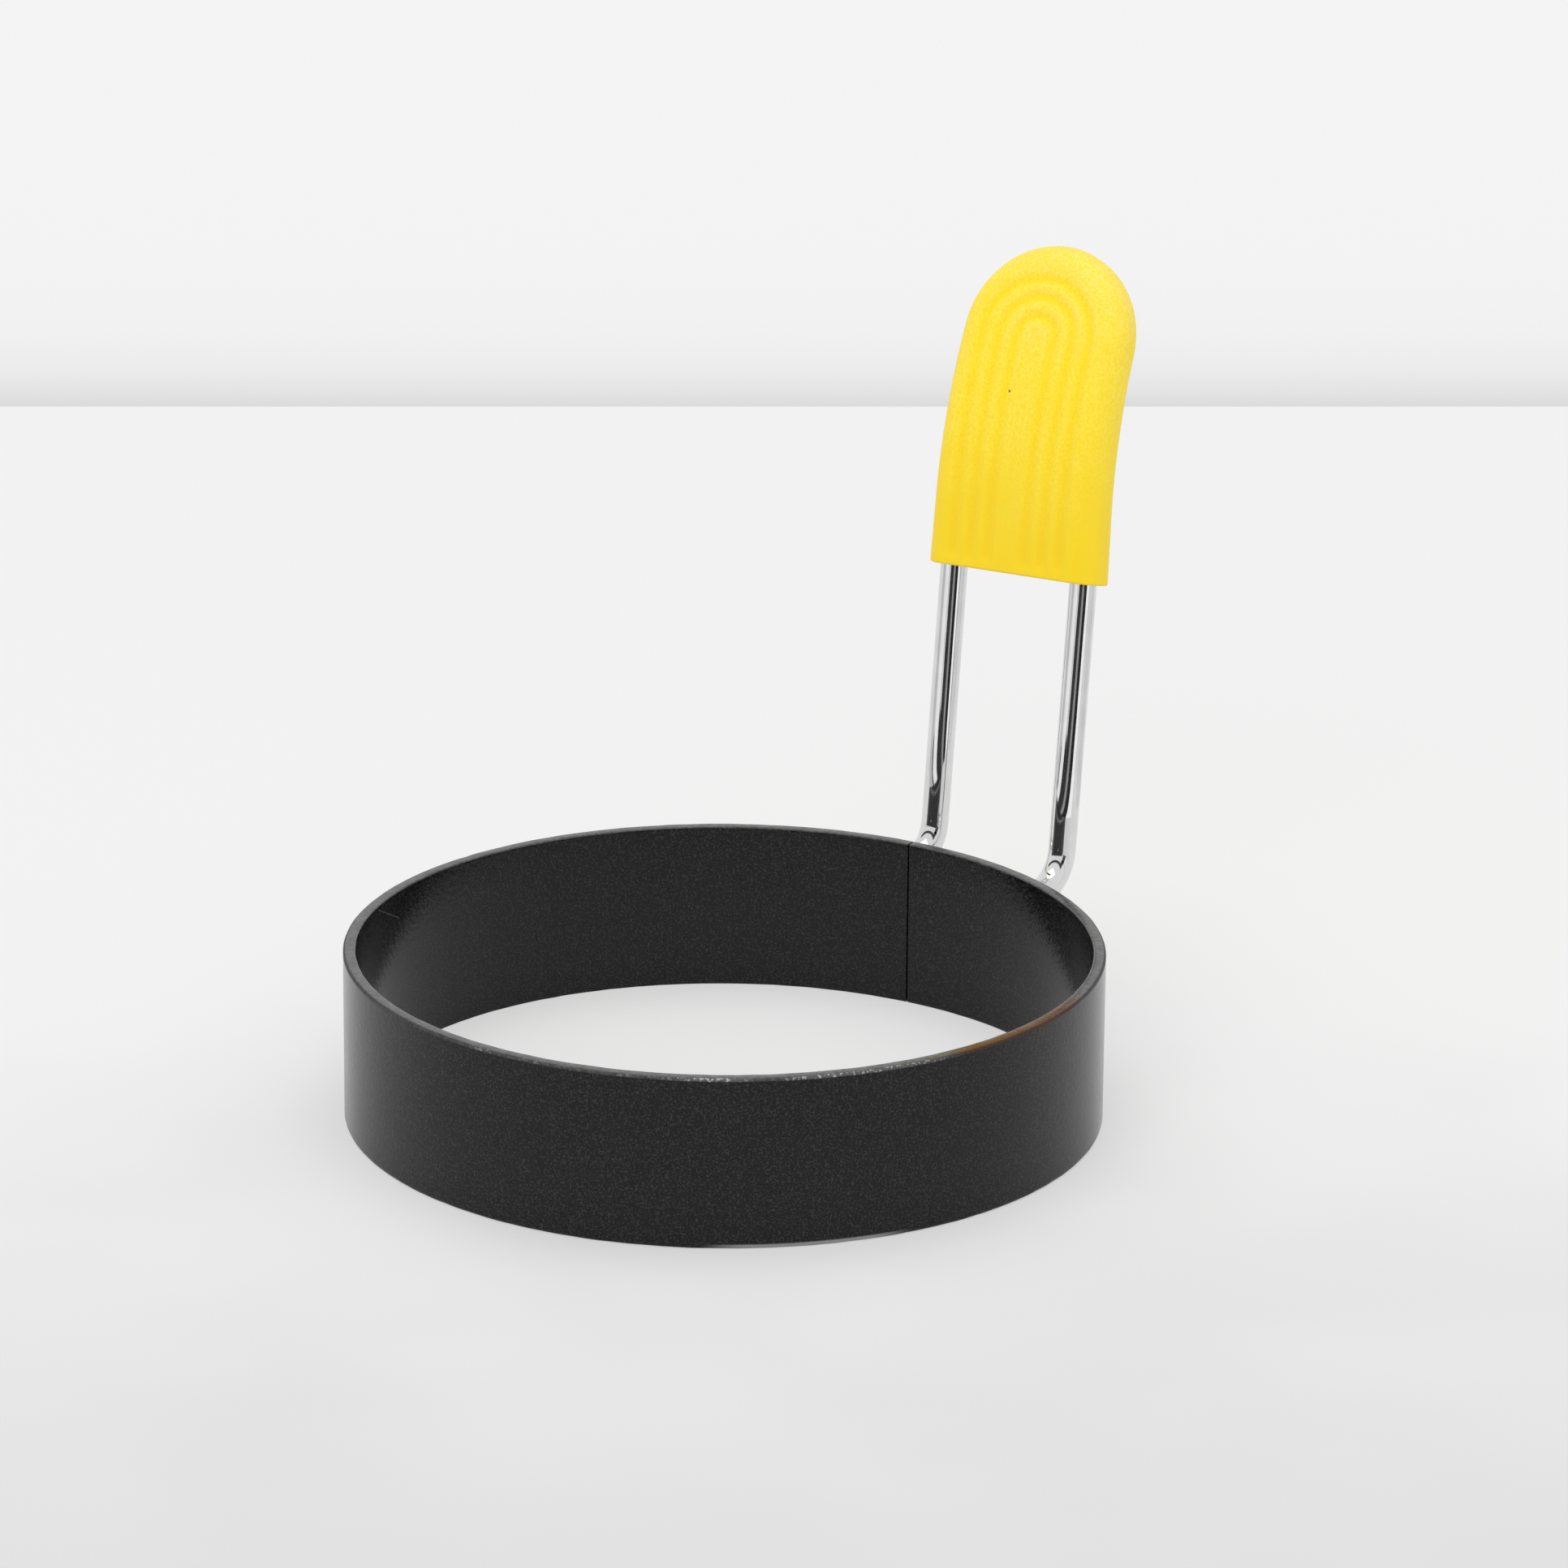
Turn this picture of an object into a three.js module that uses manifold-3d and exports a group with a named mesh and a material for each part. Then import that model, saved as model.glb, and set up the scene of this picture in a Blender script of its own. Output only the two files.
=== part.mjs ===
// Egg ring: a rolled steel band, a U-shaped wire handle welded on either side of the band's butt
// seam, and a ribbed silicone sleeve pushed over the handle's loop.
// Millimetres, +Z up. The band stands on its lower edge and the handle points along +Y.
import * as THREE from 'three';
import { mergeVertices } from 'three/addons/utils/BufferGeometryUtils.js';
import Module from 'manifold-3d';

const wasm = await Module();
wasm.setup();

// Band, rolled from flat strip.
const BAND_DIAMETER = 90;
const BAND_THICKNESS = 1.5;
const BAND_HEIGHT = 20.6;
const BAND_EDGE_RADIUS = 0.4;
const SEAM_GAP = 0.25;
const SEAM_OFFSET = 3.4;

// Handle, one length of round wire. Its side view is a level stub, a bend, a straight leaning leg
// and a curve that carries the loop further out.
const WIRE_DIAMETER = 3.4;
const LEG_SPACING = 18.9;
const LOOP_SPACING = 17.6;
const STUB_DROP = 6.4;
const STUB_REACH = 8.6;
const BEND_RADIUS = 4.8;
const LEG_LEAN = 6;
const LEG_LENGTH = 33.6;
const CURVE_START = 7.8;
const CURVE_RADIUS = 68;

// Weld collar round each stub, where it meets the band.
const WELD_LEG = 1.4;
const WELD_GAP = 0.3;

// Sleeve, moulded flat as a tongue with a round tip and bent to the handle's curve.
const SLEEVE_WALL = 0.75;
const SLEEVE_FACE_WALL = 1.5;
const SLEEVE_RUN = 28.4;
const SLEEVE_EDGE_RADIUS = 3.1;
const SLEEVE_CLEARANCE = 0.3;
const MOUTH_CHAMFER = 0.3;
const LEAD_IN = 0.4;
const LEAD_IN_DEPTH = 4;
const GROOVE_COUNT = 3;
const GROOVE_INNER_RADIUS = 2.68;
const GROOVE_PITCH = 2.48;
const GROOVE_WIDTH = 1.5;
const GROOVE_FLOOR = 0.5;
const GROOVE_DEPTH = 0.45;

// Facets.
const BAND_SEGMENTS = 96;
const CORNER_STEPS = 2;
const WIRE_SIDES = 12;
const WIRE_STEPS = 112;
const WELD_SEGMENTS = 20;
const FILLET_STEPS = 4;
const SLEEVE_RUN_STEPS = 13;
const SLEEVE_ARCH_STEPS = 20;
const SLEEVE_EDGE_STEPS = 5;
const POCKET_EDGE_STEPS = 8;
const SAME_POINT = 1e-4;

// Sizes that follow from the ones above.
const quarter = Math.PI / 2;
const bandRadius = BAND_DIAMETER / 2;
const stubHeight = BAND_HEIGHT - STUB_DROP;
const wireRadius = WIRE_DIAMETER / 2;
const lean = THREE.MathUtils.degToRad(LEG_LEAN);
const bendTurn = quarter - lean;
const legOffset = LEG_SPACING / 2;
const loopRadius = LOOP_SPACING / 2;
const pocketHalfDepth = wireRadius + SLEEVE_CLEARANCE;
const sleeveHalfDepth = pocketHalfDepth + SLEEVE_FACE_WALL;

const paints = {
  band: { color: 0x2b2b2d, roughness: 0.5, metalness: 0.4 },
  steel: { color: 0xc9cbce, roughness: 0.15, metalness: 1.0 },
  silicone: { color: 0xf6c520, roughness: 0.6, metalness: 0.0 },
};

// Solids and meshes.

function solidOf(geometry) {
  const bare = geometry.clone();
  bare.deleteAttribute('normal');
  bare.deleteAttribute('uv');
  const welded = mergeVertices(bare, SAME_POINT);
  const mesh = new wasm.Mesh({
    numProp: 3,
    vertProperties: new Float32Array(welded.attributes.position.array),
    triVerts: new Uint32Array(welded.index.array),
  });
  return new wasm.Manifold(mesh);
}

function geometryOf(solid) {
  const mesh = solid.getMesh();
  const geometry = new THREE.BufferGeometry();
  geometry.setAttribute('position', new THREE.BufferAttribute(mesh.vertProperties, 3));
  geometry.setIndex(new THREE.BufferAttribute(mesh.triVerts, 1));
  geometry.computeVertexNormals();
  return geometry;
}

function namedMesh(name, geometry, paint) {
  const mesh = new THREE.Mesh(geometry, new THREE.MeshStandardMaterial(paint));
  mesh.name = name;
  return mesh;
}

// A lathe turned about +Z instead of +Y.
function lathe(profile, segments) {
  return new THREE.LatheGeometry(profile, segments).rotateX(Math.PI / 2);
}

// Points on an arc, both ends included.
function arcPoints(centreX, centreY, radius, from, to, steps) {
  const points = [];
  for (let i = 0; i <= steps; i += 1) {
    const angle = from + ((to - from) * i) / steps;
    const x = centreX + radius * Math.cos(angle);
    const y = centreY + radius * Math.sin(angle);
    points.push(new THREE.Vector2(x, y));
  }
  return points;
}

// Band

function bandGeometry() {
  const r = BAND_EDGE_RADIUS;
  const inner = bandRadius - BAND_THICKNESS + r;
  const outer = bandRadius - r;
  const low = r;
  const high = BAND_HEIGHT - r;
  const profile = [
    ...arcPoints(outer, low, r, -quarter, 0, CORNER_STEPS),
    ...arcPoints(outer, high, r, 0, quarter, CORNER_STEPS),
    ...arcPoints(inner, high, r, quarter, 2 * quarter, CORNER_STEPS),
    ...arcPoints(inner, low, r, 2 * quarter, 3 * quarter, CORNER_STEPS),
  ];
  profile.push(profile[0].clone());
  const hoop = lathe(profile, BAND_SEGMENTS);
  const slit = new THREE.BoxGeometry(SEAM_GAP, bandRadius, 2 * BAND_HEIGHT);
  slit.translate(0, bandRadius, BAND_HEIGHT / 2);
  slit.rotateZ(Math.asin(SEAM_OFFSET / bandRadius));
  return geometryOf(solidOf(hoop).subtract(solidOf(slit)));
}

// The space that the band takes up, and the weld gap outside it, as one round block.
function bandBlock() {
  const block = new THREE.CylinderGeometry(
    bandRadius + WELD_GAP, bandRadius + WELD_GAP, 2 * BAND_HEIGHT, BAND_SEGMENTS,
  );
  block.rotateX(Math.PI / 2);
  return solidOf(block.translate(0, 0, BAND_HEIGHT / 2));
}

// Handle

// Side view of the handle, at a distance measured along it from the sleeve's mouth. It gives the
// place on the wire's middle line and the angle by which the wire leans out from upright.
function sideView(along) {
  const bendCentreY = bandRadius + STUB_REACH;
  const bendCentreZ = stubHeight + BEND_RADIUS;
  const bendLength = BEND_RADIUS * bendTurn;
  if (along < -LEG_LENGTH - bendLength) {
    const left = along + LEG_LENGTH + bendLength;
    return { y: bendCentreY + left, z: stubHeight, lean: quarter };
  }
  if (along < -LEG_LENGTH) {
    const turned = (along + LEG_LENGTH + bendLength) / BEND_RADIUS;
    const y = bendCentreY + BEND_RADIUS * Math.sin(turned);
    const z = bendCentreZ - BEND_RADIUS * Math.cos(turned);
    return { y, z, lean: quarter - turned };
  }
  const straight = LEG_LENGTH + Math.min(along, CURVE_START);
  const curved = Math.max(along - CURVE_START, 0) / CURVE_RADIUS;
  const footY = bendCentreY + BEND_RADIUS * Math.cos(lean);
  const footZ = bendCentreZ - BEND_RADIUS * Math.sin(lean);
  const out = CURVE_RADIUS * (Math.cos(lean) - Math.cos(lean + curved));
  const up = CURVE_RADIUS * (Math.sin(lean + curved) - Math.sin(lean));
  return {
    y: footY + straight * Math.sin(lean) + out,
    z: footZ + straight * Math.cos(lean) + up,
    lean: lean + curved,
  };
}

// Distance of the wire's middle line from the handle's middle plane. The legs are parallel below the
// sleeve and draw together inside it.
function wireOffset(along) {
  const share = THREE.MathUtils.clamp(along / SLEEVE_RUN, 0, 1);
  return THREE.MathUtils.lerp(legOffset, loopRadius, share);
}

// A point of the handle laid flat, carried onto its bent shape.
function bentPoint(across, along, outward = 0) {
  const at = sideView(along);
  const y = at.y + outward * Math.cos(at.lean);
  const z = at.z - outward * Math.sin(at.lean);
  return new THREE.Vector3(across, y, z);
}

// The wire's middle line, from one stub over the loop to the other.
class HandleLine extends THREE.Curve {
  constructor() {
    super();
    const wallFallsBack = bandRadius - Math.sqrt(bandRadius ** 2 - legOffset ** 2);
    const intoBand = STUB_REACH + wallFallsBack + BAND_THICKNESS;
    this.quarterLoop = loopRadius * quarter;
    const bend = BEND_RADIUS * bendTurn;
    this.halfLength = this.quarterLoop + SLEEVE_RUN + LEG_LENGTH + bend + intoBand;
  }

  getPoint(t, target = new THREE.Vector3()) {
    const fromCrown = (2 * t - 1) * this.halfLength;
    const side = fromCrown < 0 ? -1 : 1;
    const distance = Math.abs(fromCrown);
    if (distance < this.quarterLoop) {
      const angle = distance / loopRadius;
      const along = SLEEVE_RUN + loopRadius * Math.cos(angle);
      return target.copy(bentPoint(side * loopRadius * Math.sin(angle), along));
    }
    const along = SLEEVE_RUN + this.quarterLoop - distance;
    return target.copy(bentPoint(side * wireOffset(along), along));
  }
}

function wireGeometry() {
  const section = new THREE.Shape();
  section.absarc(0, 0, wireRadius, 0, 2 * Math.PI);
  const rod = new THREE.ExtrudeGeometry(section, {
    steps: WIRE_STEPS,
    curveSegments: WIRE_SIDES / 2,
    extrudePath: new HandleLine(),
  });
  return geometryOf(solidOf(rod).subtract(bandBlock()));
}

// A collar with a hollow fillet, round the stub on one side and shaped to the band.
function weldGeometry(side) {
  const bore = wireRadius + WELD_GAP;
  const wallY = Math.sqrt((bandRadius + WELD_GAP) ** 2 - legOffset ** 2);
  const slope = (legOffset * (bore + WELD_LEG)) / wallY;
  const toe = bore + WELD_LEG;
  const root = -slope - BAND_THICKNESS;
  const profile = [
    new THREE.Vector2(toe, root),
    ...arcPoints(toe, WELD_LEG + slope, WELD_LEG, 3 * quarter, 2 * quarter, FILLET_STEPS),
    new THREE.Vector2(bore, root),
  ];
  profile.push(profile[0].clone());
  const collar = new THREE.LatheGeometry(profile, WELD_SEGMENTS);
  collar.translate(side * legOffset, wallY, stubHeight);
  return geometryOf(solidOf(collar).subtract(bandBlock()));
}

// Sleeve

// Half of the sleeve's cross-section, from the middle of its inner face round the edge to the
// middle of its outer face. Each point is a distance from the middle line and a height.
function sleeveHalfSection(along) {
  const inset = Math.max(MOUTH_CHAMFER - along, 0);
  const half = wireOffset(along) + wireRadius + SLEEVE_CLEARANCE + SLEEVE_WALL - inset;
  const face = sleeveHalfDepth - inset;
  const radius = Math.min(SLEEVE_EDGE_RADIUS, sleeveHalfDepth) - inset;
  const floor = Math.max(GROOVE_DEPTH, inset) - sleeveHalfDepth;
  const front = [new THREE.Vector2(0, -face)];
  for (let i = 0; i < GROOVE_COUNT; i += 1) {
    const middle = GROOVE_INNER_RADIUS + i * GROOVE_PITCH;
    front.push(new THREE.Vector2(middle - GROOVE_WIDTH / 2, -face));
    front.push(new THREE.Vector2(middle - GROOVE_FLOOR / 2, floor));
    front.push(new THREE.Vector2(middle + GROOVE_FLOOR / 2, floor));
    front.push(new THREE.Vector2(middle + GROOVE_WIDTH / 2, -face));
  }
  front.push(...arcPoints(half - radius, radius - face, radius, -quarter, 0, SLEEVE_EDGE_STEPS));
  const back = front.map((point) => new THREE.Vector2(point.x, -point.y)).reverse();
  return [...front, ...back];
}

// Half of the pocket's cross-section, in the same order, with edges round the wire. Towards the
// mouth the pocket's two faces part, and its width stays as it is.
function pocketHalfSection(along) {
  const flare = LEAD_IN * Math.max(1 - along / LEAD_IN_DEPTH, 0);
  const middle = wireOffset(along);
  const round = arcPoints(middle, 0, pocketHalfDepth, -quarter, quarter, POCKET_EDGE_STEPS);
  const stretch = (pocketHalfDepth + flare) / pocketHalfDepth;
  round.forEach((point) => point.setY(point.y * stretch));
  return [new THREE.Vector2(0, round[0].y), ...round, new THREE.Vector2(0, -round[0].y)];
}

// A skin swept up one side of the tongue, round its tip and down the other side. The half-section
// may change along the straight run: section(along) gives it.
function tongueSkin(section, runStops, outside) {
  const positions = [];
  const stations = [];
  const straight = (side) => runStops.map(
    (along) => section(along).map((p) => bentPoint(side * p.x, along, p.y)),
  );
  stations.push(...straight(-1));
  for (let i = 1; i < SLEEVE_ARCH_STEPS; i += 1) {
    const angle = Math.PI - (Math.PI * i) / SLEEVE_ARCH_STEPS;
    const arch = section(SLEEVE_RUN).map((p) => {
      const along = SLEEVE_RUN + p.x * Math.sin(angle);
      return bentPoint(p.x * Math.cos(angle), along, p.y);
    });
    stations.push(arch);
  }
  stations.push(...straight(1).reverse());
  const triangle = (a, b, c) => {
    const shortest = Math.min(a.distanceTo(b), b.distanceTo(c), c.distanceTo(a));
    if (shortest > SAME_POINT) {
      const corners = outside ? [a, b, c] : [a, c, b];
      corners.forEach((corner) => positions.push(...corner.toArray()));
    }
  };
  for (let i = 0; i + 1 < stations.length; i += 1) {
    const here = stations[i];
    const next = stations[i + 1];
    for (let j = 0; j + 1 < here.length; j += 1) {
      triangle(here[j], next[j], next[j + 1]);
      triangle(here[j], next[j + 1], here[j + 1]);
    }
  }
  return positions;
}

// The flat end at the mouth, a strip between the sleeve's outline and the pocket's.
function mouthFace() {
  const outline = sleeveHalfSection(0);
  const opening = pocketHalfSection(0);
  const positions = [];
  [-1, 1].forEach((side) => {
    const triangle = (corners) => {
      const ordered = side < 0 ? corners : corners.reverse();
      ordered.forEach((p) => positions.push(...bentPoint(side * p.x, 0, p.y).toArray()));
    };
    let i = 0;
    let j = 0;
    while (i + 1 < outline.length || j + 1 < opening.length) {
      const outlineNext = i + 1 < outline.length ? turnOf(outline[i + 1]) : Infinity;
      const openingNext = j + 1 < opening.length ? turnOf(opening[j + 1]) : Infinity;
      if (outlineNext <= openingNext) {
        triangle([outline[i], outline[i + 1], opening[j]]);
        i += 1;
      } else {
        triangle([outline[i], opening[j + 1], opening[j]]);
        j += 1;
      }
    }
  });
  return positions;
}

// How far round the section a point lies, seen from the middle of the pocket's round edge for
// points beyond it, and by the distance across for points short of it.
function turnOf(point) {
  const beyond = point.x - legOffset;
  if (beyond > 0) {
    return Math.atan2(point.y, beyond);
  }
  return Math.sign(point.y) * (quarter - beyond);
}

function sleeveGeometry() {
  const evenStops = [];
  for (let i = 1; i <= SLEEVE_RUN_STEPS; i += 1) {
    evenStops.push(LEAD_IN_DEPTH + ((SLEEVE_RUN - LEAD_IN_DEPTH) * i) / SLEEVE_RUN_STEPS);
  }
  const runStops = [0, MOUTH_CHAMFER, LEAD_IN_DEPTH, ...evenStops];
  const positions = [
    ...tongueSkin(sleeveHalfSection, runStops, true),
    ...tongueSkin(pocketHalfSection, runStops, false),
    ...mouthFace(),
  ];
  const geometry = new THREE.BufferGeometry();
  geometry.setAttribute('position', new THREE.Float32BufferAttribute(positions, 3));
  const welded = mergeVertices(geometry, SAME_POINT);
  welded.computeVertexNormals();
  return welded;
}

// Assembly

const ring = new THREE.Group();
ring.add(namedMesh('ring_band', bandGeometry(), paints.band));

const handle = new THREE.Group();
handle.add(namedMesh('handle_wire', wireGeometry(), paints.steel));
handle.add(namedMesh('left_weld', weldGeometry(-1), paints.steel));
handle.add(namedMesh('right_weld', weldGeometry(1), paints.steel));

const grip = new THREE.Group();
grip.add(namedMesh('grip_sleeve', sleeveGeometry(), paints.silicone));
handle.add(grip);

const assembly = new THREE.Group();
assembly.add(ring, handle);

// The origin lies under the middle of the whole object, on the surface that it stands on.
const middle = new THREE.Box3().setFromObject(assembly, true).getCenter(new THREE.Vector3());
assembly.position.set(-middle.x, -middle.y, 0);

const eggRing = new THREE.Group();
eggRing.add(assembly);
eggRing.updateMatrixWorld(true);

export default eggRing;
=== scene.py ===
# Egg ring: the finished look of the band, the wire handle, its welds and the silicone sleeve.
import math

import bmesh
import bpy
import numpy as np
from mathutils import Matrix, Vector, noise


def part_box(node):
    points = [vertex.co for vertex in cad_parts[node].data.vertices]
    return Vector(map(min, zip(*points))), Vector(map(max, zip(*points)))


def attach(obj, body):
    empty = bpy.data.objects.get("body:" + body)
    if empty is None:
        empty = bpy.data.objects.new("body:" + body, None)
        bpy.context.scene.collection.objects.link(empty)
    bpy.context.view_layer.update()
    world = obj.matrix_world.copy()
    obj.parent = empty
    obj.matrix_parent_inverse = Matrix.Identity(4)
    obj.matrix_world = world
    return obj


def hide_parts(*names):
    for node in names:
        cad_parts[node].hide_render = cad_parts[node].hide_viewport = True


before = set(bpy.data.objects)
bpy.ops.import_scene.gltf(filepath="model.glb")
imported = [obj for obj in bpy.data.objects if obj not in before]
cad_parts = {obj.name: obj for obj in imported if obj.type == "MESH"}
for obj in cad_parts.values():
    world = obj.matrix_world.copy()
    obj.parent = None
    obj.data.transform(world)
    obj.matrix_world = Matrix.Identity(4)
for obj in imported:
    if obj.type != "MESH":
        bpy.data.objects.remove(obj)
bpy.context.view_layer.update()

MM = 0.001
MERGE_DISTANCE = 1e-7
SHARP_DEGREES = 35


def grey(value):
    return (value, value, value, 1)


# Band. Its axis, radius and height are read from the frame.
band_low, band_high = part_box("ring_band")
AXIS_Y = (band_low.y + band_high.y) / 2
BAND_RADIUS = (band_high.x - band_low.x) / 2
BAND_HEIGHT = band_high.z
BAND_THICKNESS = 1.5 * MM
BAND_STEPS = 720
OUTER_EDGE_RADIUS = 0.36 * MM
OUTER_EDGE_STEPS = 6
INNER_EDGE_RADIUS = 0.2 * MM
INNER_EDGE_STEPS = 5
WALL_ROWS = 9
WALL_END = 0.15 * MM
SEAM_GAP = 0.25 * MM
SEAM_OFFSET = 3.4 * MM
EDGE_WAVE = 0.03 * MM
EDGE_WAVE_LENGTH = 2.2 * MM
SIDEWAYS_WAVE_SEED = 3
UPRIGHT_WAVE_SEED = 9

# Marks of use: a worn stretch on the rim, a scuff on the lower edge, a scratch inside and a speck
# on the sleeve. The brown patch on the rim is a painted reflection of the yellow grip.
WEAR_PLACE = Vector((24.0, -53.1, 20.6)) * MM
WEAR_SPREAD = (22 * MM, 31 * MM)
# Painted reflection of the yellow grip in the rim, as a brown patch.
GRIP_REFLECTION_PLACE = Vector((44.3, -17.5, 20.6)) * MM
GRIP_REFLECTION_SPREAD = (9 * MM, 14 * MM)
GRIP_REFLECTION_COLOUR = (0.085, 0.026, 0.006, 1)
SCUFF_PLACE = Vector((33.5, -45.0, 0.0)) * MM
SCUFF_SPREAD = (7 * MM, 13 * MM)
SCUFF_HEIGHTS = (0.65 * MM, 0.40 * MM)
SCUFF_STRENGTH = 0.6
SCRATCH_START = Vector((-41.4, -28.4, 20.14)) * MM
SCRATCH_END = Vector((-42.9, -22.4, 17.1)) * MM
SCRATCH_WIDTH = (0.03 * MM, 0.08 * MM)
SCRATCH_RADII = (BAND_RADIUS, BAND_RADIUS - MM)
SCRATCH_STRENGTH = 0.2
SPECK_PLACE = Vector((-2.07, 47.21, 74.18)) * MM
SPECK_SPREAD = (0.1 * MM, 0.25 * MM)
SPECK_COLOUR = (0.20, 0.13, 0.02, 1)

# Noise: its usual range, and how much fine detail it carries.
NOISE_RANGE = (0.3, 0.7)
FINE_DETAIL = 3.0
PLAIN_DETAIL = 2.0
BROAD_DETAIL = 1.0

# Coating: where the flat top of the rim and its outer corner begin, then grain, chips and gloss.
LAND_HEIGHTS = (BAND_HEIGHT - 0.30 * MM, BAND_HEIGHT - 0.02 * MM)
TOP_EDGE_HEIGHTS = (BAND_HEIGHT - 0.42 * MM, BAND_HEIGHT - 0.24 * MM)
OUTER_EDGE_RADII = (BAND_RADIUS - 0.34 * MM, BAND_RADIUS - 0.14 * MM)
COAT_GRAIN_LENGTH = 0.24 * MM
COAT_GRAIN_RANGE = (0.46, 0.70)
COAT_GRAIN_SHADES = (grey(0.0002), grey(0.026))
COAT_GRAIN_BUMP = (0.012 * MM, 0.7)
PEBBLE_LENGTH = 0.7 * MM
PEBBLE_BUMP = (0.03 * MM, 0.8)
# Painted light: the flat top of the rim and its outer corner are painted a lighter grey for the light
# that falls on them.
RIM_LIGHT_LENGTH = 0.6 * MM
RIM_LIGHT_RANGE = (0.35, 0.65)
RIM_LIGHT_SHADES = (grey(0.05), grey(0.09))
RIM_LIGHT_AT_CORNER = 0.5
CHIP_LENGTH = 0.32 * MM
CHIP_RANGE = (0.54, 0.62)
CHIP_SHARES = (0.12, 1.0)
PATCH_LENGTH = 9 * MM
PATCH_RANGE = (0.40, 0.56)
PATCH_SHARES = (0.1, 1.0)
BARE_STEEL = grey(0.45)
BARE_METALLIC = 0.7
COAT_CLOUD_LENGTH = 14 * MM
COAT_ROUGHNESS = (0.15, 0.19)
CORNER_ROUGHNESS = 0.6
COAT_IOR = 1.37

# Handle, one length of round wire: stub, bend, leaning leg, curve and loop.
WIRE_RADIUS = 1.7 * MM
LEG_OFFSET = 9.45 * MM
LOOP_RADIUS = 8.8 * MM
STUB_HEIGHT = BAND_HEIGHT - 6.4 * MM
STUB_REACH = 8.6 * MM
BEND_RADIUS = 4.8 * MM
LEAN = math.radians(6)
LEG_LENGTH = 33.6 * MM
CURVE_START = 7.8 * MM
CURVE_RADIUS = 68 * MM
BEND_TURN = math.pi / 2 - LEAN

# Rows of points on the wire, which lie closer together in the bend. The pairs are the distances from
# the bend at which one spacing ends and the next one starts.
WIRE_SIDES = 40
LEG_STEPS = 90
LEG_TO_BEND = (2 * MM, 1.8 * MM)
BEND_STEPS = 48
BEND_TO_STUB = (1 * MM, 1.4 * MM)
STUB_STEPS = 12
LOOP_STEPS = 80

# Bright finish of the wire, with lines drawn out along it.
DRAWN_STRETCH = (1.0, 1.0, 12.0)
DRAWN_LENGTH = 0.09
WIRE_BLOTCH_LENGTH = 3 * MM
WIRE_SHADES = ((0.69, 0.69, 0.695, 1), (0.74, 0.74, 0.745, 1))
WIRE_METALLIC = 0.97
WIRE_ROUGHNESS = (0.05, 0.09)
WIRE_BUMP = (0.004 * MM, 0.3)

# Weld beads at the stubs.
WELD_LEG = 1.3 * MM
WELD_DEPTH = 0.1 * MM
WELD_HOLLOW = 0.12 * MM
WELD_RIPPLE = 0.1 * MM
WELD_RIPPLE_LENGTH = 1.1 * MM
WELD_RIPPLE_SEED = 7
WELD_LOBE = 0.07
WELD_LOBE_LENGTH = 1.3
WELD_LOBE_SEED = 5
WELD_STEPS = 96
WELD_SLOPE_STEPS = 12
WELD_SHARP_DEGREES = 60
WELD_HEAT_LENGTH = 1.6 * MM
WELD_HEAT_RANGE = (0.4, 0.65)
WELD_SHADES = ((0.46, 0.45, 0.44, 1), (0.40, 0.33, 0.25, 1))
WELD_GRAIN_LENGTH = 0.35 * MM
WELD_ROUGHNESS = (0.22, 0.42)
WELD_BUMP = (0.05 * MM, 0.6)

# Sleeve, moulded flat as a tongue and bent to the handle's curve.
SLEEVE_RUN = 28.4 * MM
SLEEVE_CLEARANCE = 0.3 * MM
SLEEVE_WALL = 0.75 * MM
SLEEVE_FACE_WALL = 1.5 * MM
POCKET_HALF_DEPTH = WIRE_RADIUS + SLEEVE_CLEARANCE
SLEEVE_HALF_DEPTH = POCKET_HALF_DEPTH + SLEEVE_FACE_WALL
SLEEVE_EDGE_RADIUS = 3.1 * MM
MOUTH_ROUND = 0.3 * MM
LEAD_IN = 0.4 * MM
LEAD_IN_DEPTH = 4 * MM
GROOVE_COUNT = 3
GROOVE_INNER_RADIUS = 2.68 * MM
GROOVE_PITCH = 2.48 * MM
GROOVE_WIDTH = 2.4 * MM
GROOVE_DEPTH = 0.22 * MM
GROOVE_FADE = (0.5 * MM, 2.0 * MM)
ARCH_SQUASH = 0.91
MOUTH_SLANT = 0.045
MOUTH_RAKE = 0.15
MOUTH_BLEND = 14 * MM
SLEEVE_TURN = 0.005
TIP_EXTRA = 0.3 * MM
TIP_START = 8 * MM
TIP_END = 11 * MM
FACE_STEPS = 72
SLEEVE_EDGE_STEPS = 15
LIP_STEPS = 6
RUN_STEPS = 59
TIP_STEPS = 64

# Silicone. Its yellow is painted deeper at the mouth, as painted shade, and paler at the tip, as a
# painted sheen from above.
SHADED_MOUTH_YELLOW = (0.985, 0.684, 0.004, 1)
FULL_YELLOW = (0.985, 0.772, 0.066, 1)
SHEEN_TIP_YELLOW = (0.985, 0.768, 0.14, 1)
SHADED_TO_FULL = (56 * MM, 74 * MM)
FULL_TO_SHEEN = (74 * MM, 92 * MM)
YELLOW_CLOUD_LENGTH = 9 * MM
YELLOW_CLOUD_SHIFT = (-4 * MM, 4 * MM)
YELLOW_GRAIN = (0.95, 0.69, 0.008, 1)
YELLOW_GRAIN_LENGTH = 0.35 * MM
YELLOW_GRAIN_SHARES = (0.0, 0.9)
YELLOW_GRAIN_BUMP = (0.02 * MM, 0.6)
# Painted shade in the grooves: the colour there is multiplied darker and deeper.
GROOVE_PAINTED_SHADE = (1.0, 0.96, 0.15, 1)
SILICONE_ROUGHNESS = (0.46, 0.6)
SILICONE_IOR = 1.42
BLOOM = 0.08
BLOOM_ROUGHNESS = 0.4
INNER_GLOW = 0.08
INNER_GLOW_RADIUS = (1.0, 0.55, 0.08)
INNER_GLOW_DEPTH = 1.2 * MM

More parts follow.
